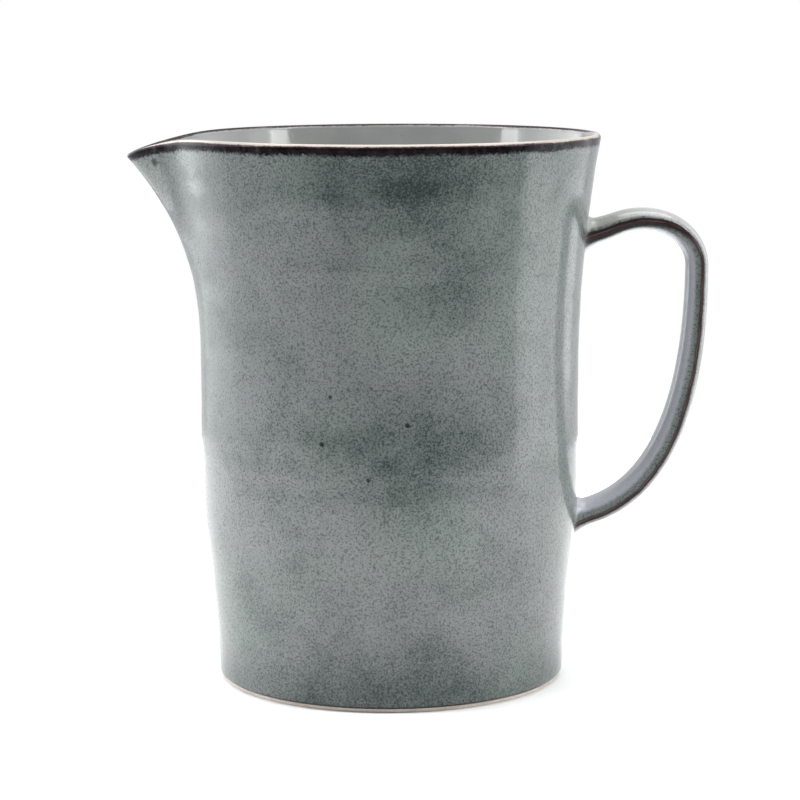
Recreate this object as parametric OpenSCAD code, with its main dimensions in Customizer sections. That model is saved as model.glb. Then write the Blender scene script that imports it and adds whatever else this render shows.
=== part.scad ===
// Stoneware pitcher with a pulled spout and a luted strap handle.
// The clay pieces and every layer of glaze are separate solids that meet face to face.
// Origin: centre of the foot, on the table. +X points to the handle, -X to the spout, +Z up.

/* [Body] */
// Height of the rim's crest above the table
body_h = 180; // [160:1:216]
// Glazed outer radius of the wall just above the foot
base_r = 57.2; // [50:0.2:62]
// Glazed outer radius of the straight belly
belly_r = 62.3; // [56:0.1:75]
// Glazed outer radius of the wall at the rim
rim_r = 69.6; // [64:0.2:84]
// Height at which the taper from the foot reaches the belly
belly_z = 55; // [40:1:70]
// Height at which the wall starts to flare towards the rim
flare_z = 100; // [80:1:115]
// How slowly the taper opens: 1 is a straight cone
taper_bow = 1.35; // [1:0.05:2]
// Softness of the bend between taper and belly
belly_blend = 0.8; // [0.2:0.1:3]

/* [Clay] */
// Clay thickness of the wall at the foot
wall_base_t = 4.6; // [3.5:0.1:7]
// Thickness of the lip with its glaze
lip_t = 2.8; // [2.4:0.1:5]
// Thickness of the clay floor
floor_t = 5; // [3:0.5:9]
// Radius of the cove between the floor and the wall
cove_r = 9; // [5:0.5:14]

/* [Foot] */
// Height of the bare clay ring below the glaze line
bare_h = 1.2; // [0.8:0.1:3]
// Outer radius of the foot ring
foot_r = 55.6; // [46:0.2:60]
// Width of the foot ring
foot_w = 5; // [3:0.5:10]
// Depth of the hollow inside the foot ring
foot_recess = 2.6; // [1.8:0.1:5]
// Radius of the rounded corner above the foot ring
corner_r = 2; // [1:0.1:5]
// Edge break of the foot ring
foot_edge = 0.4; // [0.2:0.1:0.5]
// Strip wiped clean between the foot ring and the glaze underneath
wiped_w = 1; // [0.5:0.1:3]

/* [Glaze] */
// Thickness of the glaze
glaze_t = 0.4; // [0.2:0.05:0.8]
// Height of the dark band where the glaze breaks over the lip
rim_band_h = 3; // [1.5:0.1:8]

/* [Spout] */
// How far the spout's tip stands out of the rim
spout_reach = 17; // [8:0.5:24]
// Height at which the spout starts to grow out of the wall
spout_z = 117; // [95:1:135]
// How far the lip drops at the spout's tip
spout_drop = 6.2; // [2:0.1:10]
// Rounding of the spout's tip in plan, in degrees about the axis
tip_round = 8.5; // [4:0.5:14]
// Rounding of the spout's fold where it starts, in degrees about the axis
throat_round = 20; // [10:1:30]
// Spread of the spout's sides, in degrees about the axis
spout_spread = 4.6; // [2:0.1:8]
// Rounding of the lip's drop at the tip, in degrees about the axis
drop_round = 4; // [2:0.5:14]
// Spread of the lip's drop to the sides, in degrees about the axis
drop_spread = 6.7; // [3:0.1:10]

/* [Handle] */
// Height of the upper root's centre on the wall
handle_top_z = 147; // [120:1:152]
// Height of the lower root's centre on the wall
handle_low_z = 53; // [35:1:80]
// Reach of the handle's centre line beyond the belly
handle_reach = 39; // [30:0.2:50]
// Rise of the handle's crest above the upper root
handle_rise = 4.8; // [4:0.2:9]
// Distance of the crest beyond the belly
crest_out = 21; // [15:0.5:26]
// Drop from the crest to the outermost point
shoulder_drop = 15.5; // [12:0.5:26]
// Slope at which the handle leaves the upper root, in degrees above level
top_slope = 15; // [5:1:35]
// Slope at which the handle meets the lower root, in degrees above level
low_slope = 17; // [5:1:35]
// Strap thickness where it leaves the upper joint
strap_root_t = 7.3; // [5:0.1:11]
// Strap thickness at the crest
strap_top_t = 6.3; // [4:0.1:9]
// Strap thickness at the lower root
strap_low_t = 7.8; // [5:0.1:11]
// Strap width
strap_w = 14; // [10:0.5:20]
// Length of each luted joint along the handle
joint_l = 5; // [3.5:0.5:8]
// Flare of each luted joint against the wall
joint_flare = 1.6; // [0.5:0.1:3]

/* [Hidden] */

// Steps of the surfaces round the axis, finer at the spout
round_steps = 64;
tip_share = 0.36;
// Steps of the handle's oval section and of each luted joint
oval_steps = 18;
joint_steps = 4;
lip_steps = 6;
cove_steps = 4;
// The oval's squareness: 2 is an ellipse
oval_power = 2.3;
// The spout fades out between these angles from its centre line
fade_from = 28;
fade_to = 58;

lip_r = lip_t / 2;
lip_z = body_h - lip_r;
foot_in_r = foot_r - foot_w;
corner_z = bare_h + 0.8 * corner_r;
floor_top = foot_recess + floor_t;
cove_z = floor_top + cove_r;
// Least width of the wall's clay above the edge of the glaze underneath
seam_lap = 3;
band_z = body_h - rim_band_h;

function mix(a, b, t) = a + (b - a) * t;
function steps(n) = [for (i = [0 : n]) i / n];
function soft_min(a, b, k) = min(a, b) - pow(max(k - abs(a - b), 0), 2) / (4 * k);
function reverse(v) = [for (i = [len(v) - 1 : -1 : 0]) v[i]];

// ---- The wall's outline: radius against height, before the spout is pulled ----

function taper_r(h) =
    mix(base_r, belly_r, pow(max(h - corner_z, 0) / (belly_z - corner_z), taper_bow));
function flare(h) = (rim_r - belly_r) * pow(max(h - flare_z, 0) / (body_h - flare_z), 2);
function corner_in(h) =
    h >= corner_z ? 0 : corner_r - sqrt(pow(corner_r, 2) - pow(corner_z - h, 2));
function outer_r(h) = soft_min(taper_r(h), belly_r, belly_blend) + flare(h) - corner_in(h);
function clay_t(h) = mix(wall_base_t, lip_t - 2 * glaze_t, h / lip_z);
function inner_r(h) = outer_r(h) - glaze_t - clay_t(h);

// Heights of the rows of facets, up the outside and down the inside
corner_rows = [bare_h, mix(bare_h, corner_z, 0.5), corner_z];
taper_rows = [for (t = [1 : 5]) mix(corner_z, belly_z, t / 5)];
flare_rows = [for (t = steps(8)) mix(flare_z, band_z, t)];
plain_rows = concat(corner_rows, taper_rows, [belly_z + 6], flare_rows);
// The facets run straight past each luted joint, so that it seats on them face to face
function seat_rows(rows, z, half) =
    concat([for (h = rows) if (h < z - half - 1) h],
           [z - half, z + half],
           [for (h = rows) if (h > z + half + 1) h]);
function seat_half(thick, slope) = (thick / 2 + joint_flare + glaze_t) / cos(slope) + 0.3;
outer_rows = seat_rows(
    seat_rows(plain_rows, handle_low_z, seat_half(strap_low_t, low_slope)),
    handle_top_z, seat_half(strap_root_t, top_slope));
inner_rows = reverse(concat([cove_z, mix(cove_z, belly_z, 0.5), belly_z + 3], flare_rows));

// ---- The spout: how far it pulls the wall out and down ----

// The first facet on each side of the handle is as wide as the joints that seat on it
seat_angle = asin((strap_w / 2 + joint_flare + glaze_t) / (outer_r(handle_low_z) - glaze_t));
function angle_at(i) =
    let (t = 2 * i / round_steps - 1, turn = 180 * mix(pow(abs(t), 1.8), abs(t), tip_share))
    180 + sign(t) * (i == 0 ? 180 : min(turn, 180 - seat_angle));
angles = [for (i = [0 : round_steps - 1]) angle_at(i)];
function fade(off) =
    0.5 + 0.5 * cos(180 * min(max((off - fade_from) / (fade_to - fade_from), 0), 1));
function pulled(h) = pow(max(h - spout_z, 0) / (body_h - spout_z), 2);
function fold(angle, soft, spread) =
    let (off = abs(angle - 180))
    exp(-(sqrt(off * off + soft * soft) - soft) / spread) * fade(off);
function swell(h, angle) =
    spout_reach * pulled(h) * fold(angle, mix(throat_round, tip_round, pulled(h)), spout_spread);
function drop(h, angle) = spout_drop * pulled(h) * fold(angle, drop_round, drop_spread);

// A point of the pot: radius and height in the plain outline, then pulled by the spout.
// The lip moves as one piece, so a point takes the pull of height pull_h.
function pot_point(r, h, angle, pull_h) =
    let (far = r + swell(pull_h, angle))
    [far * cos(angle), far * sin(angle), h - drop(pull_h, angle)];

function outer_line(angle, skin) =
    [for (h = outer_rows) pot_point(outer_r(h) - skin, h, angle, h)];
function inner_line(angle, skin) =
    [for (h = inner_rows) pot_point(inner_r(h) - skin, h, angle, h)];
function lip_line(angle, skin) =
    [for (t = steps(lip_steps))
        pot_point(outer_r(lip_z) - lip_r + (lip_r - skin) * cos(180 * t),
                  lip_z + (lip_r - skin) * sin(180 * t), angle, lip_z)];
function lip_end(angle, skin) = lip_line(angle, skin)[lip_steps];
function band_edge(angle, skin) = pot_point(outer_r(band_z) - skin, band_z, angle, band_z);
function cove_line(angle, skin) =
    [for (t = [1 : cove_steps])
        let (turn = 90 * t / cove_steps, r = cove_r - skin)
        pot_point(inner_r(cove_z) - cove_r + r * cos(turn), cove_z - r * sin(turn), angle, 0)];

floor_r = inner_r(cove_z) - cove_r;
// The seam round the floor leans in where it must, to stay above the glaze underneath
seam_r = min(floor_r, foot_in_r - wiped_w - seam_lap);

// ---- Solids from rings of points ----

// Two triangles between neighbouring points of two neighbouring rings
function patch(a, b, c, d, flip) =
    flip ? [[a, c, b], [a, d, c]] : [[a, b, c], [a, c, d]];

// A ring of m points from number first on, closed in strips from side to side
function cap(first, m, flip) =
    [for (j = [0 : m / 2 - 2])
        each patch(first + j, first + j + 1, first + m - 2 - j, first + m - 1 - j, flip)];

// rings: closed rings of points, all of one even length. closed: the last ring joins the first,
// and otherwise the first and the last ring are capped.
module skin_solid(rings, closed, flip = false) {
    n = len(rings);
    m = len(rings[0]);
    last = closed ? n - 1 : n - 2;
    sides = [for (i = [0 : last], j = [0 : m - 1])
        let (k = (i + 1) % n, l = (j + 1) % m)
        each patch(i * m + j, k * m + j, k * m + l, i * m + l, flip)];
    caps = closed ? [] : concat(cap(0, m, flip), cap((n - 1) * m, m, !flip));
    polyhedron([for (ring = rings) each ring], concat(sides, caps));
}

// Turns sections, one for each angle, into level rings
function level_rings(sections) =
    [for (j = [0 : len(sections[0]) - 1]) [for (section = sections) section[j]]];

// ---- The handle's centre line, in the plane y = 0 ----

function bezier(a, b, c, d, t) =
    pow(1 - t, 3) * a + 3 * pow(1 - t, 2) * t * b + 3 * (1 - t) * t * t * c + pow(t, 3) * d;
function bezier_way(a, b, c, d, t) =
    3 * pow(1 - t, 2) * (b - a) + 6 * (1 - t) * t * (c - b) + 3 * t * t * (d - c);
function unit(v) = v / norm(v);

clay_rows = [for (h = outer_rows) [h, outer_r(h) - glaze_t]];
top_root = [lookup(handle_top_z, clay_rows), handle_top_z];
low_root = [lookup(handle_low_z, clay_rows), handle_low_z];
top_way = [cos(top_slope), sin(top_slope)];
low_way = [cos(low_slope), sin(low_slope)];
crest = [belly_r + crest_out, handle_top_z + handle_rise];
outermost = [belly_r + handle_reach, crest.y - shoulder_drop];
strap_top = top_root + joint_l * top_way;
strap_low = low_root + joint_l * low_way;
rise_l = crest.x - strap_top.x;
shoulder_l = outermost.x - crest.x;
fall_l = outermost.y - strap_low.y;
curves = [
    [strap_top, strap_top + 0.33 * rise_l * top_way, crest - [0.45 * rise_l, 0], crest],
    [crest, crest + [0.62 * shoulder_l, 0], outermost + [0, 0.52 * shoulder_drop], outermost],
    [outermost, outermost - [0, 0.58 * fall_l], strap_low + 0.29 * fall_l * low_way, strap_low]];
curve_steps = [5, 8, 14];

// The strap thins towards the crest and thickens again on the way down
function strap_t(k, t, z) =
    k == 0 ? mix(strap_top_t, strap_root_t, pow(1 - t, 2))
    : mix(strap_top_t, strap_low_t, (crest.y - z) / (crest.y - strap_low.y));
// Each stop along the strap: [point, direction, thickness]
stops = concat(
    [for (k = [0 : 2], i = [0 : curve_steps[k] - 1])
        let (t = i / curve_steps[k], c = curves[k], point = bezier(c[0], c[1], c[2], c[3], t))
        [point, unit(bezier_way(c[0], c[1], c[2], c[3], t)), strap_t(k, t, point.y)]],
    [[strap_low, -low_way, strap_low_t]]);

// ---- The handle's sections ----

function bend(x, power) = sign(x) * pow(abs(x), power);
// The oval section as [across, out of the curve] pairs, grown by grow all round
function oval(thick, grow) =
    [for (i = [0 : oval_steps - 1])
        let (a = 360 * (i + 0.5) / oval_steps)
        [(strap_w / 2 + grow) * bend(cos(a), 2 / oval_power),
         (thick / 2 + grow) * bend(sin(a), 2 / oval_power)]];
function placed(point, way, across, out) =
    [point.x - way.y * out, across, point.y + way.x * out];
function strap_ring(stop, grow) =
    [for (p = oval(stop[2], grow))
        placed(stop[0], stop[1], p.x, p.y)];
function strap_rings(grow) = [for (stop = stops) strap_ring(stop, grow)];

// The wall's facets beside the handle: distance from the plane x = 0 at a given y and height
function side_angle(k) = 180 - abs(angle_at(k) - 180);
function facet_x(y, r, k = 0) =
    let (a = side_angle(k), b = side_angle(k + 1))
    y > r * sin(b) ? facet_x(y, r, k + 1)
    : r * mix(cos(a), cos(b), (y / r - sin(a)) / (sin(b) - sin(a)));
function wall_x(y, z) = facet_x(abs(y), lookup(z, clay_rows));

// How far along its direction a line through the root's section meets the wall
function reach_wall(root, way, across, out, along = 0, tries = 6) =
    let (p = placed(root + along * way, way, across, out),
         next = along + (wall_x(p.y, p.z) - p.x) / way.x)
    tries == 0 ? along : reach_wall(root, way, across, out, next, tries - 1);

// A ring of a luted joint, at share t of the way from the wall to the strap's end. side is 1
// where the strap leaves the wall and -1 where it comes back.
function joint_ring(root, way, thick, grow, side, t) =
    [for (p = oval(thick, grow + joint_flare * pow(1 - t, 2)))
        let (out = side * p.y, along = mix(reach_wall(root, way, p.x, out), joint_l, t))
        placed(root + along * way, way, p.x, out)];
function top_ring(t, grow) = joint_ring(top_root, top_way, strap_root_t, grow, 1, t);
function low_ring(t, grow) = joint_ring(low_root, low_way, strap_low_t, grow, -1, t);
function top_joint(grow) = [for (t = steps(joint_steps)) top_ring(t, grow)];
function low_joint(grow) = [for (t = reverse(steps(joint_steps))) low_ring(t, grow)];

// A joint's rings from the wall out, with the first one run straight on into the wall
function plug(rings) =
    let (a = rings[0], b = rings[1], share = 2 * glaze_t * joint_steps / joint_l)
    concat([[for (j = [0 : oval_steps - 1]) a[j] + share * (a[j] - b[j])]],
           [for (i = [1 : joint_steps]) rings[i]]);

// The handle from wall to wall
function handle_rings(grow) =
    let (strap = strap_rings(grow))
    concat(top_joint(grow), [for (i = [1 : len(strap) - 2]) strap[i]], low_joint(grow));

// ---- Sub-parts ----

// The turned clay ring that the pitcher stands on
module foot_ring() {
    color("burlywood")
        rotate_extrude($fn = 128)
            polygon([[foot_in_r + foot_edge, 0], [foot_r - foot_edge, 0], [foot_r, foot_edge],
                     [foot_r, bare_h], [foot_in_r, bare_h], [foot_in_r, foot_edge]]);
}

// The clay floor inside the wall
module floor_disc() {
    color("tan")
        translate([0, 0, foot_recess])
            linear_extrude(floor_t, scale = floor_r / seam_r)
                polygon([for (a = angles) seam_r * [cos(a), sin(a)]]);
}

// The thrown clay wall, from the foot ring to the lip, with the pulled spout
module body_wall() {
    sections = [for (a = angles) concat(
        [pot_point(foot_in_r, bare_h, a, 0)],
        outer_line(a, glaze_t),
        lip_line(a, glaze_t),
        inner_line(a, 0),
        cove_line(a, 0),
        [pot_point(seam_r, foot_recess, a, 0), pot_point(foot_in_r, foot_recess, a, 0)])];
    color("tan") skin_solid(level_rings(sections), closed = true);
}

// The pulled strap between its two joints
module handle_strap() {
    color("tan") skin_solid(strap_rings(0), closed = false);
}

// Slip and clay that fix the strap's upper end to the wall
module upper_handle_joint() {
    color("peru") skin_solid(top_joint(0), closed = false);
}

// Slip and clay that fix the strap's lower end to the wall
module lower_handle_joint() {
    color("peru") skin_solid(low_joint(0), closed = false);
}

// Glaze on the outside of the wall, open where the glazed handle comes through
module outer_glaze() {
    sections = [for (a = angles) concat(outer_line(a, glaze_t), reverse(outer_line(a, 0)))];
    color("slategray")
        difference() {
            skin_solid(level_rings(sections), closed = true, flip = true);
            skin_solid(plug(top_joint(glaze_t)), closed = false);
            skin_solid(reverse(plug(reverse(low_joint(glaze_t)))), closed = false);
        }
}

// Glaze on the inside of the wall and over the floor
module inner_glaze() {
    sections = [for (a = angles)
        let (clay_side = concat([lip_end(a, glaze_t)], inner_line(a, 0), cove_line(a, 0)),
             free_side = concat([lip_end(a, 0)], inner_line(a, glaze_t), cove_line(a, glaze_t)))
        concat(reverse(free_side), clay_side)];
    color("darkgray") skin_solid(level_rings(sections), closed = false, flip = true);
}

// Thin dark glaze where it breaks over the lip
module rim_glaze() {
    sections = [for (a = angles)
        let (clay_side = concat([band_edge(a, glaze_t)], lip_line(a, glaze_t)),
             free_side = concat([band_edge(a, 0)], lip_line(a, 0)))
        concat(clay_side, reverse(free_side))];
    color("saddlebrown") skin_solid(level_rings(sections), closed = true, flip = true);
}

// Glaze round the strap and its joints, from wall to wall
module handle_glaze() {
    color("slategray")
        skin_solid(concat(handle_rings(0), reverse(handle_rings(glaze_t))), closed = true, flip = true);
}

// Glaze on the hollow underside, inside the foot ring
module underside_glaze() {
    color("darkgray")
        translate([0, 0, foot_recess - glaze_t])
            cylinder(r = foot_in_r - wiped_w, h = glaze_t, $fn = 128);
}

foot_ring();
floor_disc();
body_wall();
handle_strap();
upper_handle_joint();
lower_handle_joint();
outer_glaze();
inner_glaze();
rim_glaze();
handle_glaze();
underside_glaze();
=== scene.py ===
import math

import bmesh
import bpy
import numpy as np
from mathutils import Matrix, Vector


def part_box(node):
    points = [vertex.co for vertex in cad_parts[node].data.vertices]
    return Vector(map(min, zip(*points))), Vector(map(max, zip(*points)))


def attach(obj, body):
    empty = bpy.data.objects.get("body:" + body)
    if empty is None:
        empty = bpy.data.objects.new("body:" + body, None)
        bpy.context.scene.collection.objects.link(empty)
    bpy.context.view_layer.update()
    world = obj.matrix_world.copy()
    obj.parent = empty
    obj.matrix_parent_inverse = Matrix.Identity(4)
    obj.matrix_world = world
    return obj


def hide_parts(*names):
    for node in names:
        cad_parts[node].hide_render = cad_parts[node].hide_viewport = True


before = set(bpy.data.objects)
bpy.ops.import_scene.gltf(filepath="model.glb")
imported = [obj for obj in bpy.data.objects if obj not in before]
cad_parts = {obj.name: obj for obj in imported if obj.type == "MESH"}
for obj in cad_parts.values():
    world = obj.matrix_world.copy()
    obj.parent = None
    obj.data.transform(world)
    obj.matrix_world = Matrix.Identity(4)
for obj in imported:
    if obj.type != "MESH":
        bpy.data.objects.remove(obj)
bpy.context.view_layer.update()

MM = 0.001

# ---- Sizes in millimetres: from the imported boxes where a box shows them, else as the CAD source has them ----


def low(node):
    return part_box(node)[0] / MM


def high(node):
    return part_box(node)[1] / MM


BODY_H = high("rim_glaze").z
BARE_H = high("foot_ring").z
FOOT_R = high("foot_ring").x
FOOT_W = 5.0
FLOOR_TOP = high("floor_disc").z
FOOT_RECESS = low("floor_disc").z
GLAZE_T = FOOT_RECESS - low("underside_glaze").z
UNDER_R = high("underside_glaze").x

BASE_R, BELLY_R, RIM_R = 57.2, 62.3, 69.6
BELLY_Z, FLARE_Z = 55.0, 100.0
TAPER_BOW, BELLY_BLEND = 1.35, 0.8
WALL_BASE_T, LIP_T, COVE_R, CORNER_R = 4.6, 2.8, 9.0, 2.0
RIM_BAND_H = 3.0
SPOUT_REACH, SPOUT_Z, SPOUT_DROP = 17.0, 117.0, 6.2
TIP_ROUND, THROAT_ROUND, SPOUT_SPREAD = 8.5, 20.0, 4.6
DROP_ROUND, DROP_SPREAD = 4.0, 6.7
FADE_FROM, FADE_TO = 28.0, 58.0

HANDLE_TOP_Z, HANDLE_LOW_Z = 147.0, 53.0
HANDLE_REACH, HANDLE_RISE, CREST_OUT, SHOULDER_DROP = 39.0, 4.8, 21.0, 15.5
TOP_SLOPE, LOW_SLOPE = math.radians(15), math.radians(17)
STRAP_ROOT_T, STRAP_TOP_T, STRAP_LOW_T, STRAP_W = 7.3, 6.3, 7.8, 14.0
JOINT_L, JOINT_FLARE, OVAL_POWER = 5.0, 1.6, 2.3

FOOT_ROUND = 0.35  # worn edges of the foot ring
SINK_FREE, SINK_CLAY = 0.25, 0.6  # how far the handle's glaze goes into the wall's glaze, outer and inner skin

LIP_R = LIP_T / 2
LIP_Z = BODY_H - LIP_R
CORNER_Z = BARE_H + 0.8 * CORNER_R
COVE_Z = FLOOR_TOP + COVE_R
BAND_Z = BODY_H - RIM_BAND_H

# ---- The body's outline, as in the CAD source ----


def mix(a, b, t):
    return a + (b - a) * t


def outer_r(h):
    h = np.asarray(h, float)
    over = np.maximum(h - CORNER_Z, 0)
    taper = mix(BASE_R, BELLY_R, (over / (BELLY_Z - CORNER_Z)) ** TAPER_BOW)
    soft = np.maximum(BELLY_BLEND - abs(taper - BELLY_R), 0) ** 2 / (4 * BELLY_BLEND)
    flare = (RIM_R - BELLY_R) * (np.maximum(h - FLARE_Z, 0) / (BODY_H - FLARE_Z)) ** 2
    under = np.maximum(CORNER_Z - h, 0)
    corner = CORNER_R - np.sqrt(CORNER_R**2 - under**2)
    return np.minimum(taper, BELLY_R) - soft + flare - corner


def inner_r(h):
    clay = mix(WALL_BASE_T, LIP_T - 2 * GLAZE_T, np.asarray(h, float) / LIP_Z)
    return outer_r(h) - GLAZE_T - clay


def pulled(h):
    return (np.maximum(h - SPOUT_Z, 0) / (BODY_H - SPOUT_Z)) ** 2


def fold(turn, soft, spread):
    off = abs(turn - 180)
    fade = 0.5 + 0.5 * np.cos(np.pi * np.clip((off - FADE_FROM) / (FADE_TO - FADE_FROM), 0, 1))
    return np.exp(-(np.sqrt(off**2 + soft**2) - soft) / spread) * fade


def pot_point(r, h, turn, pull_h):
    """Points of the pot from plain radius and height, pulled out and down by the spout as height pull_h is."""
    pull = pulled(pull_h)
    far = r + SPOUT_REACH * pull * fold(turn, mix(THROAT_ROUND, TIP_ROUND, pull), SPOUT_SPREAD)
    down = SPOUT_DROP * pull * fold(turn, DROP_ROUND, DROP_SPREAD)
    a = np.radians(turn)
    return np.stack(np.broadcast_arrays(far * np.cos(a), far * np.sin(a), h - down), -1)


def unevenness(h, turn, phase):
    """What the thrower's hands leave: slow waves round the wall and soft throwing rings, within 0.15 mm."""
    a = np.radians(turn)
    slow = 0.05 * np.sin(2 * a + h / 34 + phase) + 0.04 * np.sin(3 * a - h / 21 + 2 * phase)
    rings = 0.035 * np.sin(h / 3.1 + 0.9 * np.sin(a + phase)) + 0.02 * np.sin(h / 1.7 - 1.3 * np.cos(a))
    return slow + rings


def turns(count):
    """Angles round the axis in degrees, closer together at the spout."""
    t = np.arange(count) * 2 / count - 1
    return 180 + 180 * np.sign(t) * mix(abs(t) ** 1.8, abs(t), 0.36)


# ---- Meshes from rings of points ----


def add_mesh(name, rings, closed, marks=None, sharp=40):
    """A closed mesh through rings of points, with marks as values at its points.
    closed: the last ring joins the first. Otherwise both ends get a fan."""
    rings = np.asarray(rings, float)
    n, m = rings.shape[:2]
    verts = rings.reshape(-1, 3)
    marks = {k: np.broadcast_to(v, (n, m)).reshape(-1) for k, v in (marks or {}).items()}
    i, j = np.meshgrid(np.arange(n if closed else n - 1), np.arange(m), indexing="ij")
    i, j = i.ravel(), j.ravel()
    k, l = (i + 1) % n, (j + 1) % m
    faces = np.stack([i * m + j, k * m + j, k * m + l, i * m + l], 1).tolist()
    if not closed:
        ends = [(0, len(verts)), ((n - 1) * m, len(verts) + 1)]
        verts = np.vstack([verts, rings[0].mean(0), rings[-1].mean(0)])
        marks = {k: np.append(v, [v[:m].mean(), v[-m:].mean()]) for k, v in marks.items()}
        faces += [[first + a, first + (a + 1) % m, tip] for first, tip in ends for a in range(m)]
    mesh = bpy.data.meshes.new(name)
    mesh.from_pydata((verts * MM).tolist(), [], faces)
    for key, values in marks.items():
        mesh.attributes.new(key, "FLOAT", "POINT").data.foreach_set("value", values)
    work = bmesh.new()
    work.from_mesh(mesh)
    bmesh.ops.recalc_face_normals(work, faces=work.faces)
    work.to_mesh(mesh)
    work.free()
    mesh.shade_smooth()
    mesh.set_sharp_from_angle(angle=math.radians(sharp))
    piece = bpy.data.objects.new(name, mesh)
    bpy.context.scene.collection.objects.link(piece)
    return piece


def lathe(name, outline, closed):
    """A turned piece from its outline of radius and height."""
    outline = np.asarray(outline, float)[:, None]
    turn = np.arange(240) * 1.5
    return add_mesh(name, pot_point(outline[..., 0], outline[..., 1], turn, 0), closed)


def rounded(points, radius, steps=5):
    """A closed outline with its corners rounded off."""
    made = []
    points = np.asarray(points, float)
    for k, corner in enumerate(points):
        before, after = points[k - 1] - corner, points[(k + 1) % len(points)] - corner
        a = corner + radius * before / np.linalg.norm(before)
        b = corner + radius * after / np.linalg.norm(after)
        for t in np.linspace(0, 1, steps):
            made.append((1 - t) ** 2 * a + 2 * (1 - t) * t * corner + t**2 * b)
    return made


def stand_in(piece, material, slot, *nodes):
    """The finished piece that is shown in place of the CAD nodes."""
    piece.data.materials.append(material)
    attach(piece, "root")
    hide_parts(*nodes)


# ---- The glazed pot ----

TURN = turns(320)
# Heights of the rings: close together where the glaze rolls over, then even
OUTER_H = np.concatenate([
    BARE_H + np.array([0, 0.05, 0.12, 0.2, 0.3, 0.42, 0.6, 0.85, 1.2]),
    np.linspace(CORNER_Z + 0.2, BAND_Z, 118)])
LIP_TURN = np.linspace(0, 180, 25)
ROLL_H = 0.6  # height over which the glaze rolls over at its lower edge
OUTER_PHASE, INNER_PHASE = 0.6, 2.4


def outer_rings(skin, h):
    """Rings up the outside. The free surface rolls over at the glaze line and follows the hand's unevenness."""
    h = h[:, None]
    wave = 0 if skin else unevenness(h, TURN, OUTER_PHASE)
    roll = GLAZE_T * (1 - np.sqrt(1 - (1 - np.clip((h - BARE_H) / ROLL_H, 0, 1)) ** 2))
    return pot_point(outer_r(h) - (skin or roll) + wave, h, TURN, h)


def lip_rings(skin):
    """Rings over the rounded lip, from its outside to its inside."""
    a = np.radians(LIP_TURN)[:, None]
    wave = 0 if skin else unevenness(LIP_Z, TURN, OUTER_PHASE)
    r = outer_r(LIP_Z) - LIP_R + (LIP_R - skin) * np.cos(a) + wave
    return pot_point(r, LIP_Z + (LIP_R - skin) * np.sin(a), TURN, LIP_Z)


def inner_rings(skin, h):
    """Rings down the inside. Near the lip the free surface's waves turn into the lip's own."""
    h = h[:, None]
    wave = 0
    if skin:
        near_lip = np.clip(1 - (LIP_Z - h) / 12, 0, 1)
        wave = mix(unevenness(h, TURN, INNER_PHASE), unevenness(LIP_Z, TURN, OUTER_PHASE), near_lip)
    return pot_point(inner_r(h) - skin + wave, h, TURN, h)


def lip_distance(h):
    """Distance along the surface from the crest down the outside, in millimetres."""
    return LIP_Z - h + LIP_R * math.pi / 2


# "free" is a glaze's own surface, "clay" the one that lies on the clay, with fewer rings
outer_free, outer_clay = outer_rings(0, OUTER_H), outer_rings(GLAZE_T, OUTER_H[::6])
rim_h = np.linspace(BAND_Z, LIP_Z, 5)[:-1]
rim_free = np.vstack([outer_rings(0, rim_h), lip_rings(0)])
rim_clay = np.vstack([outer_rings(GLAZE_T, rim_h), lip_rings(GLAZE_T)])
rim_marks = np.concatenate([lip_distance(rim_h), np.radians(90 - LIP_TURN) * LIP_R])

INNER_H = np.concatenate([
    LIP_Z - np.array([0, 0.3, 0.7, 1.2, 2, 3]),
    np.linspace(LIP_Z - 4.5, COVE_Z, 100)])
cove_turn = np.radians(np.linspace(0, 90, 16)[1:])[:, None]


def cove_rings(skin):
    """The rounded corner between the wall and the floor."""
    r = COVE_R - skin
    return pot_point(inner_r(COVE_Z) - COVE_R + r * np.cos(cove_turn), COVE_Z - r * np.sin(cove_turn), TURN, 0)


def floor_rings(skin):
    """The floor, with the soft spiral swell that a thrower's finger leaves."""
    r = np.linspace(0.97, 0.02, 40)[:, None] * (inner_r(COVE_Z) - COVE_R)
    swell = 0.06 * np.sin(r / 2.4 + np.radians(TURN)) * np.clip(r / 8, 0, 1) if skin else 0
    return pot_point(r, FLOOR_TOP + skin + swell, TURN, 0)


inner_free = np.vstack([inner_rings(GLAZE_T, INNER_H), cove_rings(GLAZE_T), floor_rings(GLAZE_T)])
inner_clay = np.vstack([inner_rings(0, INNER_H[::6]), cove_rings(0), floor_rings(0)[::5]])

# ---- The handle ----


def bezier(points, t):
    """Places and directions on a curve, in the handle's plane."""
    a, b, c, d = points
    t = t[:, None]
    place = (1 - t) ** 3 * a + 3 * (1 - t) ** 2 * t * b + 3 * (1 - t) * t**2 * c + t**3 * d
    way = (1 - t) ** 2 * (b - a) + 2 * (1 - t) * t * (c - b) + t**2 * (d - c)
    return place, way / np.linalg.norm(way, axis=1)[:, None]


def root(h, slope):
    """Where a joint leaves the clay, its direction, and the strap's end on it."""
    way = np.array([math.cos(slope), math.sin(slope)])
    at = np.array([float(outer_r(h)) - GLAZE_T, h])
    return at, way, at + JOINT_L * way


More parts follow.
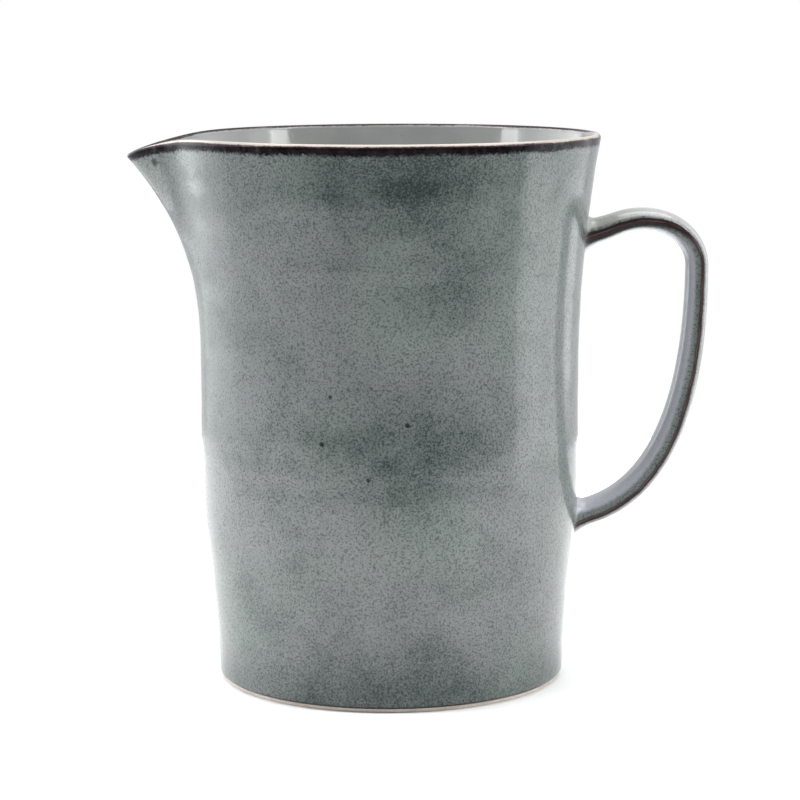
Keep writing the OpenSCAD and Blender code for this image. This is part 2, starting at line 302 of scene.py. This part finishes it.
TOP_ROOT, TOP_WAY, STRAP_TOP = root(HANDLE_TOP_Z, TOP_SLOPE)
LOW_ROOT, LOW_WAY, STRAP_LOW = root(HANDLE_LOW_Z, LOW_SLOPE)
CREST = np.array([BELLY_R + CREST_OUT, HANDLE_TOP_Z + HANDLE_RISE])
OUTERMOST = np.array([BELLY_R + HANDLE_REACH, CREST[1] - SHOULDER_DROP])
rise, shoulder, fall = CREST[0] - STRAP_TOP[0], OUTERMOST[0] - CREST[0], OUTERMOST[1] - STRAP_LOW[1]
right, up = np.array([1.0, 0]), np.array([0, 1.0])
CURVES = [
    (STRAP_TOP, STRAP_TOP + 0.33 * rise * TOP_WAY, CREST - 0.45 * rise * right, CREST),
    (CREST, CREST + 0.62 * shoulder * right, OUTERMOST + 0.52 * SHOULDER_DROP * up, OUTERMOST),
    (OUTERMOST, OUTERMOST - 0.58 * fall * up, STRAP_LOW + 0.29 * fall * LOW_WAY, STRAP_LOW)]
CURVE_STEPS = (22, 30, 60)
OVAL = np.radians((np.arange(72) + 0.5) * 5)
RUN_OUT, RUN_OUT_L = 0.7, 1.6  # the slip's thin foot on the wall, and its length along the joint


def oval(thick, grow):
    """The strap's section: across, and out of its curve."""
    def bend(x):
        return np.sign(x) * abs(x) ** (2 / OVAL_POWER)

    return (STRAP_W / 2 + grow) * bend(np.cos(OVAL)), (thick / 2 + grow) * bend(np.sin(OVAL))


def strap_t(curve, t, z):
    """The strap's thickness: it thins from the upper joint to the crest, then thickens on the way down."""
    if curve == 0:
        return mix(STRAP_TOP_T, STRAP_ROOT_T, (1 - t) ** 2)
    return mix(STRAP_TOP_T, STRAP_LOW_T, (CREST[1] - z) / (CREST[1] - STRAP_LOW[1]))


def ring(place, way, across, out):
    """A section of the handle, set across its direction."""
    x, z = place[..., 0] - way[1] * out, place[..., 1] + way[0] * out
    return np.stack(np.broadcast_arrays(x, across, z), -1)


def joint_rings(start, way, thick, skin, side, sink):
    """From the wall to the strap's end, with a soft fillet of slip that runs out on to the wall."""
    made = []
    for s in np.linspace(0, 1, 13)[:-1] ** 1.5 * JOINT_L:
        run_out = RUN_OUT * (1 - math.sqrt(1 - (1 - min(s / RUN_OUT_L, 1)) ** 2))
        fillet = JOINT_FLARE * (1 - s / JOINT_L) ** 2 + run_out
        across, out = oval(thick, skin + fillet)
        out = out * side
        along = np.zeros_like(out)
        for _ in range(8):
            at = ring(start + along[:, None] * way, way, across, out)
            wall = np.sqrt(np.maximum((outer_r(at[:, 2]) - sink) ** 2 - across**2, 0))
            along += (wall - at[:, 0]) / way[0]
        along = mix(along, JOINT_L, s / JOINT_L)
        made.append(ring(start + along[:, None] * way, way, across, out))
    return np.array(made)


def strap_rings(skin):
    made = []
    for curve, count in enumerate(CURVE_STEPS):
        share = np.linspace(0, 1, count + 1)[:-1]
        places, ways = bezier(CURVES[curve], share)
        made += [ring(p, w, *oval(strap_t(curve, t, p[1]), skin)) for p, w, t in zip(places, ways, share)]
    made.append(ring(STRAP_LOW, -LOW_WAY, *oval(STRAP_LOW_T, skin)))
    return np.array(made)


def handle_skin(skin, sink):
    top = joint_rings(TOP_ROOT, TOP_WAY, STRAP_ROOT_T, skin, 1, sink)
    bottom = joint_rings(LOW_ROOT, LOW_WAY, STRAP_LOW_T, skin, -1, sink)[::-1]
    return np.vstack([top, strap_rings(skin), bottom])


handle_free, handle_clay = handle_skin(GLAZE_T, SINK_FREE), handle_skin(0, SINK_CLAY)
oval_mark = np.broadcast_to(np.degrees(OVAL), handle_free.shape[:2])
along_mark = np.broadcast_to(np.linspace(0, 1, len(handle_free))[:, None], oval_mark.shape)

# ---- Materials ----


class Paint:
    """A material and short ways to add its nodes."""

    def __init__(self, name):
        self.material = bpy.data.materials.new(name)
        self.material.use_nodes = True
        self.tree = self.material.node_tree
        self.shader = next(n for n in self.tree.nodes if n.type == "BSDF_PRINCIPLED")
        self.place = self.add("TexCoord").outputs["Object"]

    def add(self, kind, **settings):
        node = self.tree.nodes.new("ShaderNode" + kind)
        for key, value in settings.items():
            setattr(node, key, value)
        return node

    def put(self, socket, value):
        if isinstance(value, bpy.types.NodeSocket):
            self.tree.links.new(value, socket)
        else:
            socket.default_value = value

    def math(self, operation, *values):
        node = self.add("Math", operation=operation)
        for socket, value in zip(node.inputs, values):
            self.put(socket, value)
        return node.outputs[0]

    def vector(self, operation, *values):
        node = self.add("VectorMath", operation=operation)
        for socket, value in zip(node.inputs, values):
            self.put(socket, value)
        return node.outputs["Value" if operation in ("DISTANCE", "LENGTH") else "Vector"]

    def noise(self, size, detail=2.0, rough=0.5, place=None, warp=0.0):
        """Noise whose blotches are about size millimetres across."""
        node = self.add("TexNoise")
        self.put(node.inputs["Vector"], place or self.place)
        self.put(node.inputs["Scale"], 1 / (size * MM))
        self.put(node.inputs["Detail"], detail)
        self.put(node.inputs["Roughness"], rough)
        self.put(node.inputs["Distortion"], warp)
        return node.outputs["Fac"]

    def ramp(self, value, start, end, low=0.0, high=1.0, smooth=True):
        """low at start and before it, high at end and past it."""
        node = self.add("MapRange", interpolation_type="SMOOTHSTEP" if smooth else "LINEAR")
        keys = ("Value", "From Min", "From Max", "To Min", "To Max")
        for key, setting in zip(keys, (value, start, end, low, high)):
            self.put(node.inputs[key], setting)
        return node.outputs["Result"]

    def blend(self, share, a, b):
        node = self.add("Mix", data_type="RGBA")
        self.put(node.inputs["Factor"], share)
        self.put(node.inputs["A"], a)
        self.put(node.inputs["B"], b)
        return node.outputs["Result"]

    def mark(self, name):
        """A value that the mesh carries at its points."""
        return self.add("Attribute", attribute_name=name).outputs["Fac"]

    def axis(self, name):
        node = self.add("SeparateXYZ")
        self.put(node.inputs[0], self.place)
        return node.outputs[name]

    def shifted(self, offset):
        return self.vector("ADD", self.place, offset)

    def bump(self, *layers):
        """layers: (height, depth in millimetres), each laid over the one before."""
        normal = None
        for height, depth in layers:
            node = self.add("Bump")
            self.put(node.inputs["Strength"], 1.0)
            self.put(node.inputs["Distance"], depth * MM)
            self.put(node.inputs["Height"], height)
            if normal:
                self.put(node.inputs["Normal"], normal)
            normal = node.outputs["Normal"]
        self.put(self.shader.inputs["Normal"], normal)

    def set(self, **values):
        for key, value in values.items():
            self.put(self.shader.inputs[key.replace("_", " ")], value)


def grey(*rgb):
    """A colour from its sRGB values of 0 to 255."""
    def linear(v):
        return v / 12.92 if v <= 0.04045 else ((v + 0.055) / 1.055) ** 2.4

    return tuple(linear(v / 255) for v in rgb) + (1.0,)


BODY_GREEN, BODY_GREY = grey(117, 125, 121), grey(120, 124, 124)
CLOUD_COLOUR, LIGHT_COLOUR = grey(46, 61, 58), grey(145, 151, 149)
FLECK_COLOUR, BLOT_COLOUR, SPOT_COLOUR = grey(28, 38, 38), grey(26, 36, 36), grey(8, 10, 10)
# The first colour is the painted highlight on the lip's crest; the others are the inside glaze's own colours.
CREST_PAINTED_HIGHLIGHT, INSIDE_GREY, INSIDE_SHADE, INSIDE_FLECK = (
    grey(164, 154, 146), grey(139, 141, 139), grey(130, 133, 131), grey(100, 106, 104))
BAND_BLACK, BAND_BROWN, BAND_EDGE = grey(5, 4, 8), grey(30, 22, 28), grey(74, 50, 50)
FOOT_LINE = grey(14, 12, 12)
# Strap colours: a painted highlight for the outer face, a painted sheen for the inner face, and black that is
# partly glaze break and partly painted dark reflection.
STRAP_PAINTED_HIGHLIGHT, STRAP_INNER_PAINTED_SHEEN, STRAP_BLACK_AND_PAINTED_REFLECTION = grey(172, 170, 168), grey(202, 203, 214), grey(26, 21, 24)
STRAP_EDGE, STRAP_THREAD, GRIT_COLOUR = grey(56, 34, 33), grey(124, 100, 96), grey(120, 92, 78)
GLOSS, BAND_GLOSS, STRAP_BLACK_GLOSS = 0.4, 0.08, 0.12


# Iron spots that burnt through the glaze: angle round the axis, height, radius and depth of colour
SPOTS = [
    (187.8, 174.0, 1.3, 1.0), (253.0, 101.6, 0.6, 0.8), (275.2, 93.0, 0.75, 0.95), (250.4, 86.6, 0.8, 1.0),
    (263.9, 75.7, 0.7, 1.0), (264.9, 104.5, 0.5, 0.5), (60.0, 121.0, 0.7, 0.9), (101.0, 66.0, 0.6, 0.9),
    (130.0, 92.0, 0.7, 1.0), (323.0, 38.0, 0.5, 0.7), (41.0, 70.0, 0.6, 0.9), (165.0, 60.0, 0.6, 0.8)]

# Where the glaze lies thinner and the iron clouds it: place, reach in millimetres and strength
CLOUDS = [
    ((14.0, -66.0, 168.0), 19.0, 0.65), ((-8.0, -67.0, 171.0), 20.0, 0.4), ((15.0, -60.0, 86.0), 22.0, 0.42),
    ((-4.0, -61.0, 76.0), 18.0, 0.3), ((-18.0, -54.0, 6.0), 20.0, 0.4), ((20.0, -62.0, 138.0), 16.0, 0.3),
    ((10.0, -57.0, 8.0), 22.0, 0.35), ((20.0, 62.0, 140.0), 24.0, 0.5), ((-30.0, 54.0, 60.0), 24.0, 0.5)]


def stoneware_glaze(name, dark=0.0):
    """The speckled grey-green glaze, darker towards the rim, and with painted shade towards the foot. Returns
    paint, colour and speckle.
    """
    p = Paint(name)
    cloud = p.math("MULTIPLY", p.ramp(p.noise(22, 5, 0.6, warp=0.25), 0.36, 0.76), 0.4)
    for at, reach, strength in CLOUDS:
        away = p.vector("DISTANCE", p.place, tuple(v * MM for v in at))
        near = p.ramp(away, reach * 1.35 * MM, reach * 0.1 * MM, 0, strength)
        cloud = p.math("ADD", cloud, near)
    ragged = p.ramp(p.noise(7, 4, 0.6), 0.25, 0.75, 0.65, 1.25, smooth=False)
    cloud = p.math("MULTIPLY", cloud, ragged)
    cloud = p.math("ADD", cloud, p.ramp(p.axis("Z"), 0.145, 0.175, dark, dark + 0.2))
    # Painted shade: the glaze is darkened in the lowest 18 mm, towards the foot.
    cloud = p.math("ADD", cloud, p.ramp(p.axis("Z"), 0.018, 0.004, 0, 0.25))
    speck = p.noise(0.62, 2, 0.6)
    start = p.math("ADD", 0.475, p.math("MULTIPLY", cloud, 0.035))
    fleck = p.ramp(p.math("SUBTRACT", start, speck), -0.02, 0.11)
    light = p.ramp(speck, 0.5, 0.68, 0, 0.22)
    tint = p.ramp(p.noise(38, 2, 0.5, p.shifted((0.4, 2.2, 5.0))), 0.35, 0.65)
    base = p.blend(tint, BODY_GREEN, BODY_GREY)
    base = p.blend(cloud, base, CLOUD_COLOUR)
    base = p.blend(light, base, LIGHT_COLOUR)
    base = p.blend(p.math("MULTIPLY", fleck, p.ramp(cloud, 0, 1, 0.55, 0.85)), base, FLECK_COLOUR)
    blot = p.ramp(p.noise(1.5, 3, 0.65, p.shifted((0.7, 0.2, 0.9))), 0.37, 0.27, 0, 0.65)
    base = p.blend(blot, base, BLOT_COLOUR)
    p.set(Specular_IOR_Level=GLOSS)
    return p, base, fleck


def finish_glaze(p, colour, fleck, rough=0.1):
    """Gloss that varies a little, over a surface with soft dimples."""
    uneven = p.noise(9, 2, 0.5, p.shifted((7.0, 0.3, 1.9)))
    p.set(Base_Color=colour, Roughness=p.ramp(uneven, 0.3, 0.7, rough - 0.03, rough + 0.05), IOR=1.5)
    p.bump((uneven, 0.07), (p.noise(2.2, 2, 0.5), 0.010), (fleck, -0.012))
    return p.material


def spotted(p, colour):
    """The burnt spots, with ragged edges."""
    ragged = p.math("MULTIPLY", p.math("SUBTRACT", p.noise(0.9, 2, 0.6), 0.5), 1.1 * MM)
    for turn, h, radius, strength in SPOTS:
        at = pot_point(outer_r(h), h, turn, h) * MM
        away = p.math("ADD", p.vector("DISTANCE", p.place, tuple(at)), ragged)
        spot = p.ramp(away, radius * 1.5 * MM, radius * 0.5 * MM, 0, strength)
        colour = p.blend(spot, colour, SPOT_COLOUR)
    return colour


def over_lip(p, colour):
    """The glaze runs thin over the lip: a painted cream highlight on the crest towards the front, and a dark
    ragged band below it.
    At the back the band starts on the lip's inner side and the crest is as grey as the inside."""
    down = p.mark("lip")
    drift = p.math("SUBTRACT", p.noise(14, 3, 0.6), 0.5)
    fringe = p.math("SUBTRACT", p.noise(0.9, 3, 0.7), 0.5)

    def ragged(slow, fine):
        moved = p.math("ADD", down, p.math("MULTIPLY", drift, slow))
        return p.math("ADD", moved, p.math("MULTIPLY", fringe, fine))

    foot, start = ragged(2.0, 3.0), ragged(0.7, 0.8)
    far = p.ramp(p.axis("Y"), -0.018, 0.016)
    above = p.math("SUBTRACT", start, p.ramp(far, 0, 1, 1.5, -1.4, smooth=False))
    band = p.math("MULTIPLY", p.ramp(above, -0.25, 0.3), p.ramp(foot, 4.9, 3.7))
    inside = p.ramp(down, -0.9, -1.5)
    # Painted highlight: cream on the crest, fading out towards the back.
    crest = p.math("MULTIPLY", p.ramp(above, 0.15, -0.25), p.ramp(far, 0.6, 0.2))
    colour = p.blend(crest, colour, CREST_PAINTED_HIGHLIGHT)
    over = p.math("MULTIPLY", far, p.ramp(above, 0.2, -0.2))
    colour = p.blend(p.math("MAXIMUM", inside, over), colour, INSIDE_GREY)
    brown = p.blend(p.ramp(p.noise(2.5, 3, 0.7), 0.42, 0.62), BAND_BLACK, BAND_BROWN)
    brown = p.blend(p.ramp(above, 0.8, 0.2, 0, 0.5), brown, BAND_EDGE)
    share = p.math("MULTIPLY", band, p.ramp(p.noise(7, 3, 0.6), 0.3, 0.45, 0.8, 1))
    p.set(Specular_IOR_Level=p.ramp(share, 0, 1, GLOSS, BAND_GLOSS))
    return p.blend(share, colour, brown)


def body_material():
    p, colour, fleck = stoneware_glaze("outside_glaze")
    colour = over_lip(p, spotted(p, colour))
    line = p.ramp(p.axis("Z"), (BARE_H + 1.0) * MM, (BARE_H + 0.5) * MM)
    colour = p.blend(line, colour, FOOT_LINE)
    return finish_glaze(p, colour, fleck)


def rim_material():
    p, colour, fleck = stoneware_glaze("lip_glaze")
    return finish_glaze(p, over_lip(p, colour), fleck)


def inside_material():
    p = Paint("inside_glaze")
    cloud = p.ramp(p.noise(20, 3, 0.5), 0.35, 0.7)
    colour = p.blend(cloud, INSIDE_GREY, INSIDE_SHADE)
    fleck = p.ramp(p.noise(0.9, 2, 0.6), 0.36, 0.26)
    colour = p.blend(p.math("MULTIPLY", fleck, 0.4), colour, INSIDE_FLECK)
    return finish_glaze(p, colour, fleck)


def handle_material():
    """Speckled glaze that runs thin over the strap's edges: a red-brown line with black-brown inside it, the
    black partly a painted dark reflection.
    The outer face is lightened by a painted highlight and the inner face by a pale bluish painted sheen.
    past is the angle round the strap's section past that line, which moves outwards on the way down."""
    p, colour, fleck = stoneware_glaze("handle_glaze", 0.05)
    down = p.mark("along")
    turn = p.math("ABSOLUTE", p.math("SUBTRACT", p.mark("oval"), 90))
    turn = p.math("MINIMUM", turn, p.math("SUBTRACT", 360, turn))
    wander = p.math("MULTIPLY", p.math("SUBTRACT", p.noise(7, 3, 0.6), 0.5), 14)
    past = p.math("SUBTRACT", p.math("ADD", turn, wander), p.ramp(down, 0.18, 0.45, 84, 63))
    outside = p.ramp(past, -4, -20)
    inside = p.ramp(p.math("ADD", turn, p.ramp(down, 0.18, 0.5, 0, 32)), 126, 146)
    # Painted light: the outer face lightened as a highlight, the inner face as a pale bluish sheen.
    colour = p.blend(p.math("MULTIPLY", outside, 0.5), colour, STRAP_PAINTED_HIGHLIGHT)
    colour = p.blend(p.math("MULTIPLY", inside, 0.55), colour, STRAP_INNER_PAINTED_SHEEN)
    # The black is the glaze break with a painted dark reflection in it.
    fade = p.ramp(p.math("SUBTRACT", past, p.ramp(down, 0.18, 0.45, 34, 6)), 30, 0)
    root = p.math("MULTIPLY", p.ramp(down, 0, 0.05, 0.5, 1), p.ramp(down, 1, 0.96, 0.5, 1))
    black = p.math("MULTIPLY", p.math("MULTIPLY", p.ramp(past, -5, 2), fade), root)
    colour = p.blend(p.math("MULTIPLY", black, 0.94), colour, STRAP_BLACK_AND_PAINTED_REFLECTION)
    edge = p.math("MULTIPLY", p.ramp(past, 0, 5), p.ramp(past, 22, 14))
    colour = p.blend(p.math("MULTIPLY", edge, 0.6), colour, STRAP_EDGE)
    thread = p.math("MULTIPLY", p.ramp(past, 8, 10), p.ramp(past, 14, 12))
    streaks = p.ramp(p.noise(9, 2, 0.5, p.shifted((4.2, 0.7, 2.1))), 0.4, 0.6, 0, 0.4)
    colour = p.blend(p.math("MULTIPLY", thread, streaks), colour, STRAP_THREAD)
    p.set(Specular_IOR_Level=p.ramp(black, 0, 1, GLOSS, STRAP_BLACK_GLOSS))
    return finish_glaze(p, colour, fleck, 0.13)


def clay_material(name, light, dark):
    p = Paint(name)
    patch = p.ramp(p.noise(9, 3, 0.6), 0.35, 0.7)
    grit = p.ramp(p.noise(0.5, 2, 0.7), 0.55, 0.75)
    colour = p.blend(patch, grey(*light), grey(*dark))
    colour = p.blend(p.math("MULTIPLY", grit, 0.4), colour, GRIT_COLOUR)
    p.set(Base_Color=colour, Roughness=p.ramp(patch, 0, 1, 0.8, 0.9))
    p.bump((p.noise(0.6, 3, 0.7), 0.05), (grit, 0.03))
    return p.material


def underside_material():
    p, colour, fleck = stoneware_glaze("underside_glaze", 0.15)
    return finish_glaze(p, colour, fleck, 0.2)


# ---- The pieces ----

outer_marks = lip_distance(np.concatenate([OUTER_H, OUTER_H[::6][::-1]]))
stand_in(add_mesh("outer_glaze_skin", np.vstack([outer_free, outer_clay[::-1]]), True,
                  {"lip": outer_marks[:, None]}),
         body_material(), "outer_glaze", "outer_glaze")
stand_in(add_mesh("rim_glaze_skin", np.vstack([rim_free, rim_clay[::-1]]), True,
                  {"lip": np.concatenate([rim_marks, rim_marks[::-1]])[:, None]}),
         rim_material(), "rim_glaze", "rim_glaze")
stand_in(add_mesh("inner_glaze_skin", np.vstack([inner_free[::-1], inner_clay]), False),
         inside_material(), "inner_glaze", "inner_glaze")
stand_in(add_mesh("handle_glaze_skin", np.vstack([handle_free, handle_clay[::-1]]), True,
                  {"oval": np.vstack([oval_mark, oval_mark]),
                   "along": np.vstack([along_mark, along_mark[::-1]])}),
         handle_material(), "handle_glaze", "handle_glaze")

foot_in = FOOT_R - FOOT_W
foot_outline = rounded([(foot_in, 0), (FOOT_R, 0), (FOOT_R, BARE_H), (foot_in, BARE_H)], FOOT_ROUND)
stand_in(lathe("foot_ring_turned", foot_outline, True),
         clay_material("bare_clay", (240, 231, 223), (226, 214, 205)), "bare_clay", "foot_ring")

# The underside's glaze: a faintly ringed free surface, a rolled edge, then its flat back
under = low("underside_glaze").z
edge = [(UNDER_R * t, under - 0.02 * math.sin(9 * t)) for t in np.linspace(0.01, 0.97, 40)]
edge += [(UNDER_R - 0.5, under - 0.1), (UNDER_R - 0.1, under + 0.1), (UNDER_R, FOOT_RECESS - 0.02)]
edge += [(UNDER_R * t, FOOT_RECESS) for t in (0.9, 0.5, 0.01)]
stand_in(lathe("underside_glaze_skin", edge, False), underside_material(), "inner_glaze", "underside_glaze")

# The clay inside stays the CAD solids
hidden_clay = clay_material("clay_body", (196, 182, 168), (184, 168, 154))
luting_clay = clay_material("luting_clay", (188, 172, 158), (172, 154, 140))
for node in ("floor_disc", "body_wall", "handle_strap", "upper_handle_joint", "lower_handle_joint"):
    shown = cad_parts[node]
    wanted = luting_clay if node.endswith("joint") else hidden_clay
    shown.data.materials.clear()
    shown.data.materials.append(wanted)

# ---- Floor, light and camera, in metres ----

FLOOR_R, FLOOR_SIDES = 0.5, 96
ROOM_FRONT, ROOM_BACK = 0.25, 0.78
COOL, BLUISH = (0.97, 0.985, 1), (0.96, 0.96, 1)
STRIP, STRIP_AIM = (0.20, 0.75), (0, 0, 0.16)
CAMERA_AT, CAMERA_DOWN, CAMERA_ROLL, LENS = (0.0034, -0.9, 0.2252), math.radians(8.43), -0.0039, 123.4


def floor():
    p = Paint("studio_floor")
    p.set(Base_Color=(0.86, 0.86, 0.86, 1), Roughness=p.ramp(p.noise(30, 2), 0.3, 0.7, 0.85, 0.95))
    turn = np.linspace(0, 2 * math.pi, FLOOR_SIDES + 1)[:-1]
    rim = [(FLOOR_R * math.cos(a), FLOOR_R * math.sin(a), 0.0) for a in turn]
    mesh = bpy.data.meshes.new("studio_floor")
    mesh.from_pydata(rim, [], [tuple(range(FLOOR_SIDES))])
    made = bpy.data.objects.new("studio_floor", mesh)
    made.data.materials.append(p.material)
    bpy.context.scene.collection.objects.link(made)


def panel(name, at, target, width, height, radiance, colour=(1, 1, 1), sheen_only=False):
    """A soft box that faces target. sheen_only: the glazes mirror it, but it lights nothing."""
    lamp = bpy.data.lights.new(name, "AREA")
    lamp.shape = "RECTANGLE"
    lamp.size, lamp.size_y = width, height
    lamp.energy = math.pi * radiance * width * height
    lamp.color = colour
    made = bpy.data.objects.new(name, lamp)
    bpy.context.scene.collection.objects.link(made)
    facing = (Vector(target) - Vector(at)).to_track_quat("-Z", "Y")
    made.matrix_world = Matrix.Translation(at) @ facing.to_matrix().to_4x4()
    made.visible_camera = False
    made.visible_diffuse = not sheen_only


def studio():
    """White behind the pitcher for the camera. For light and gloss, a room that is darker towards the front."""
    world = bpy.data.worlds.new("studio")
    bpy.context.scene.world = world
    world.use_nodes = True
    tree = world.node_tree
    tree.nodes.clear()
    output = tree.nodes.new("ShaderNodeOutputWorld")
    white = tree.nodes.new("ShaderNodeBackground")
    room = tree.nodes.new("ShaderNodeBackground")
    seen = tree.nodes.new("ShaderNodeLightPath")
    choose = tree.nodes.new("ShaderNodeMixShader")
    way = tree.nodes.new("ShaderNodeTexCoord")
    split = tree.nodes.new("ShaderNodeSeparateXYZ")
    fade = tree.nodes.new("ShaderNodeMapRange")
    link = tree.links.new
    link(way.outputs["Generated"], split.inputs[0])
    link(split.outputs["Y"], fade.inputs["Value"])
    for key, value in (("From Min", -0.5), ("From Max", 0.5), ("To Min", ROOM_FRONT), ("To Max", ROOM_BACK)):
        fade.inputs[key].default_value = value
    link(fade.outputs["Result"], room.inputs["Strength"])
    white.inputs["Strength"].default_value = 1.0
    room.inputs["Color"].default_value = (*COOL, 1)
    white.inputs["Color"].default_value = (1, 1, 1, 1)
    link(seen.outputs["Is Camera Ray"], choose.inputs[0])
    link(room.outputs[0], choose.inputs[1])
    link(white.outputs[0], choose.inputs[2])
    link(choose.outputs[0], output.inputs["Surface"])


floor()
studio()
# The two strips make the bright streaks inside the mouth, each on the side opposite to its own
panel("strip_right", (0.76, -0.25, 0.62), STRIP_AIM, *STRIP, 9)
panel("strip_left", (-0.79, -0.135, 0.62), STRIP_AIM, *STRIP, 8.5)
# The cards light the sides, and the sheens stand where the wall mirrors them
panel("card_right", (0.5, 0.2, 0.31), (0, 0.2, 0.31), 0.62, 0.62, 0.5)
panel("card_left", (-0.6, 0.35, 0.32), (0, 0.1, 0.2), 0.9, 0.6, 2.2, COOL)
panel("sheen_right", (0.46, -0.03, 0.24), (0, -0.03, 0.24), 0.16, 0.48, 2.2, BLUISH, sheen_only=True)
panel("sheen_back", (0.46, 0.285, 0.24), (0, 0.285, 0.24), 0.47, 0.48, 1.0, BLUISH, sheen_only=True)
panel("sheen_left", (-0.62, 0.42, 0.3), (0, 0.05, 0.2), 0.6, 0.7, 0.6, (0.97, 0.96, 1), sheen_only=True)
panel("overhead", (0, 0.1, 1.0), (0, 0.1, 0), 1.2, 1.2, 4)

camera = bpy.data.objects.new("camera", bpy.data.cameras.new("camera"))
bpy.context.scene.collection.objects.link(camera)
camera.data.sensor_width = 36
camera.data.lens = LENS
camera.data.clip_start = 0.01
camera.matrix_world = (
    Matrix.Translation(CAMERA_AT) @ Matrix.Rotation(math.radians(90) - CAMERA_DOWN, 4, "X")
    @ Matrix.Rotation(CAMERA_ROLL, 4, "Z"))
bpy.context.scene.camera = camera
bpy.context.scene.view_settings.view_transform = "Standard"
